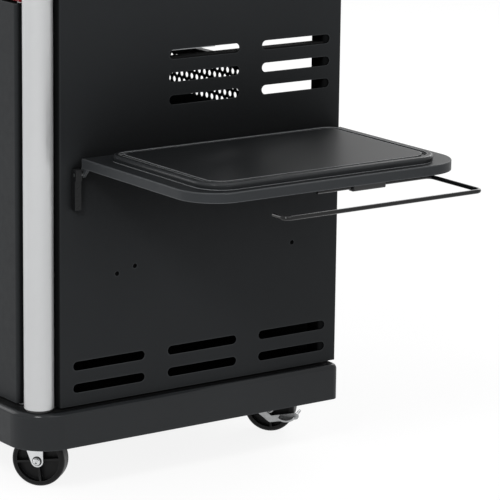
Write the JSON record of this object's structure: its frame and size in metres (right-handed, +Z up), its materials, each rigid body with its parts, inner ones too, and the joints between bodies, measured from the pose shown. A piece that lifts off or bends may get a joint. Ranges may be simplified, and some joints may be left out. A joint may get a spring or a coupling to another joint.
{
  "type": "gas barbecue grill",
  "caption": "Gas barbecue on a cabinet cart with slotted side panels, silver posts, hinged lid and doors, castors, and a fold-down side shelf with cutting board and towel rail.",
  "frame": {"origin": "on the floor, under the middle of the base tray", "axes": "+X to the grill's right side (the shelf side), -Y to its front (doors and knobs), +Z up"},
  "size_m": [1.135, 0.5721, 1.0706],
  "materials": {
    "anthracite_paint": "satin powder coat",
    "base_moulding": "semi-gloss moulded",
    "silver_paint": "satin silver lacquer",
    "black_steel": "satin black coat",
    "red_enamel": "gloss enamel",
    "black_cast": "fine cast black coat",
    "cast_iron": "matt enamel",
    "stainless": "brushed",
    "firebox_enamel": "heat-proof black",
    "galvanised": "dull galvanised",
    "foil": "bright rolled",
    "brass": "machined",
    "zinc": "bright zinc plate",
    "knob_satin": "satin",
    "black_plastic": "fine grain",
    "wheel_black": "moulded",
    "board_black": "polished",
    "handle_black": "fine grain",
    "button_red": "polished",
    "gauge_metal": "polished",
    "gauge_glass": "clear",
    "needle_paint": "matt"
  },
  "bodies": {
    "cart": {"base_tray": "base_moulding", "side_panel_right": "anthracite_paint", "side_panel_left": "anthracite_paint", "front_posts": "silver_paint", "post_plugs": "black_plastic", "rear_posts": "black_steel", "rear_panel": "anthracite_paint", "cross_rails": "black_steel", "control_fascia": "red_enamel", "knob_bezels": "stainless", "gas_valves": "brass", "gas_manifold": "galvanised", "gas_inlet_fitting": "brass", "igniter_housing": "black_plastic", "firebox": "firebox_enamel", "burners": "stainless", "flame_tamers": "stainless", "cooking_grates": "cast_iron", "tray_runners": "galvanised", "door_hinge_pins": "zinc", "lid_hinge_pins": "zinc", "shelf_brackets": "black_steel", "shelf_hinge_pins": "zinc", "caster_plates": "zinc"},
    "right_door": {"door_right": "anthracite_paint", "door_handle_right": "stainless"},
    "left_door": {"door_left": "anthracite_paint", "door_handle_left": "stainless"},
    "lid": {"lid_shell": "red_enamel", "lid_ends": "black_cast", "lid_handle": "stainless", "lid_handle_posts": "handle_black", "thermometer_case": "gauge_metal", "thermometer_glass": "gauge_glass"},
    "needle": {"thermometer_needle": "needle_paint"},
    "igniter": {"igniter_button": "button_red"},
    "shelf": {"shelf_tray": "anthracite_paint", "towel_rail": "black_steel", "rail_clip": "black_plastic"},
    "board": {"cutting_board": "board_black"},
    "drip": {"drip_tray": "galvanised", "drip_pan": "foil"},
    "stem_left": {"valve_stem_left": "zinc"},
    "knob_left": {"knob_left": "knob_satin"},
    "stem_middle": {"valve_stem_middle": "zinc"},
    "knob_middle": {"knob_middle": "knob_satin"},
    "stem_right": {"valve_stem_right": "zinc"},
    "knob_right": {"knob_right": "knob_satin"},
    "fork_front_right": {"caster_fork_front_right": "zinc"},
    "wheel_front_right": {"caster_wheel_front_right": "wheel_black"},
    "fork_front_left": {"caster_fork_front_left": "zinc"},
    "wheel_front_left": {"caster_wheel_front_left": "wheel_black"},
    "fork_rear_right": {"caster_fork_rear_right": "zinc"},
    "wheel_rear_right": {"caster_wheel_rear_right": "wheel_black"},
    "brake_rear_right": {"brake_lever_rear_right": "zinc"},
    "fork_rear_left": {"caster_fork_rear_left": "zinc"},
    "wheel_rear_left": {"caster_wheel_rear_left": "wheel_black"},
    "brake_rear_left": {"brake_lever_rear_left": "zinc"}
  },
  "joints": [
    {"name": "door_right_hinge", "type": "hinge", "parent": "cart", "child": "right_door", "pos_m": [0.2999, -0.2381, 0.42], "axis": [0, 0, 1], "range_deg": [0, 105]},
    {"name": "door_left_hinge", "type": "hinge", "parent": "cart", "child": "left_door", "pos_m": [-0.2999, -0.2381, 0.42], "axis": [0, 0, -1], "range_deg": [0, 105]},
    {"name": "lid_hinge", "type": "hinge", "parent": "cart", "child": "lid", "pos_m": [0, 0.268, 0.847], "axis": [-1, 0, 0], "range_deg": [0, 85]},
    {"name": "shelf_fold", "type": "hinge", "parent": "cart", "child": "shelf", "pos_m": [0.3655, 0.0413, 0.468], "axis": [0, 1, 0], "range_deg": [0, 88]},
    {"name": "board_lift", "type": "slide", "parent": "shelf", "child": "board", "axis": [0, 0, 1], "range_m": [0, 0.06]},
    {"name": "drip_tray_slide", "type": "slide", "parent": "cart", "child": "drip", "axis": [0, 1, 0], "range_m": [0, 0.25]},
    {"name": "igniter_push", "type": "slide", "parent": "cart", "child": "igniter", "axis": [0, 1, 0], "range_m": [0, 0.006], "stiffness_N_per_m": 600, "springref_m": -0.004},
    {"name": "needle_turn", "type": "hinge", "parent": "lid", "child": "needle", "pos_m": [0, -0.1934, 0.92527], "axis": [0, 0.9745, -0.2243], "range_deg": [0, 240]},
    {"name": "knob_left_push", "type": "slide", "parent": "cart", "child": "stem_left", "axis": [0, 1, 0], "range_m": [0, 0.004], "stiffness_N_per_m": 900, "springref_m": -0.004},
    {"name": "knob_left_turn", "type": "hinge", "parent": "stem_left", "child": "knob_left", "pos_m": [-0.15, -0.272, 0.755], "axis": [0, -1, 0], "range_deg": [0, 180]},
    {"name": "knob_middle_push", "type": "slide", "parent": "cart", "child": "stem_middle", "axis": [0, 1, 0], "range_m": [0, 0.004], "stiffness_N_per_m": 900, "springref_m": -0.004},
    {"name": "knob_middle_turn", "type": "hinge", "parent": "stem_middle", "child": "knob_middle", "pos_m": [0, -0.272, 0.755], "axis": [0, -1, 0], "range_deg": [0, 180]},
    {"name": "knob_right_push", "type": "slide", "parent": "cart", "child": "stem_right", "axis": [0, 1, 0], "range_m": [0, 0.004], "stiffness_N_per_m": 900, "springref_m": -0.004},
    {"name": "knob_right_turn", "type": "hinge", "parent": "stem_right", "child": "knob_right", "pos_m": [0.15, -0.272, 0.755], "axis": [0, -1, 0], "range_deg": [0, 180]},
    {"name": "swivel_front_right", "type": "hinge", "parent": "cart", "child": "fork_front_right", "pos_m": [0.2636, -0.216, 0.093], "axis": [0, 0, 1], "continuous": true},
    {"name": "roll_front_right", "type": "hinge", "parent": "fork_front_right", "child": "wheel_front_right", "pos_m": [0.28218, -0.19927, 0.039], "axis": [0.6691, -0.7431, 0], "continuous": true},
    {"name": "swivel_front_left", "type": "hinge", "parent": "cart", "child": "fork_front_left", "pos_m": [-0.2636, -0.216, 0.093], "axis": [0, 0, 1], "continuous": true},
    {"name": "roll_front_left", "type": "hinge", "parent": "fork_front_left", "child": "wheel_front_left", "pos_m": [-0.25505, -0.19251, 0.039], "axis": [0.9397, -0.342, 0], "continuous": true},
    {"name": "swivel_rear_right", "type": "hinge", "parent": "cart", "child": "fork_rear_right", "pos_m": [0.2203, 0.2225, 0.093], "axis": [0, 0, 1], "continuous": true},
    {"name": "roll_rear_right", "type": "hinge", "parent": "fork_rear_right", "child": "wheel_rear_right", "pos_m": [0.23888, 0.23923, 0.039], "axis": [0.6691, -0.7431, 0], "continuous": true},
    {"name": "brake_rear_right_press", "type": "hinge", "parent": "fork_rear_right", "child": "brake_rear_right", "pos_m": [0.23591, 0.23655, 0.054], "axis": [-0.6691, 0.7431, 0], "range_deg": [0, 10.2]},
    {"name": "swivel_rear_left", "type": "hinge", "parent": "cart", "child": "fork_rear_left", "pos_m": [-0.2203, 0.2225, 0.093], "axis": [0, 0, 1], "continuous": true},
    {"name": "roll_rear_left", "type": "hinge", "parent": "fork_rear_left", "child": "wheel_rear_left", "pos_m": [-0.22885, 0.19901, 0.039], "axis": [-0.9397, 0.342, 0], "continuous": true},
    {"name": "brake_rear_left_press", "type": "hinge", "parent": "fork_rear_left", "child": "brake_rear_left", "pos_m": [-0.22748, 0.20277, 0.054], "axis": [0.9397, -0.342, 0], "range_deg": [0, 10.2]}
  ]
}
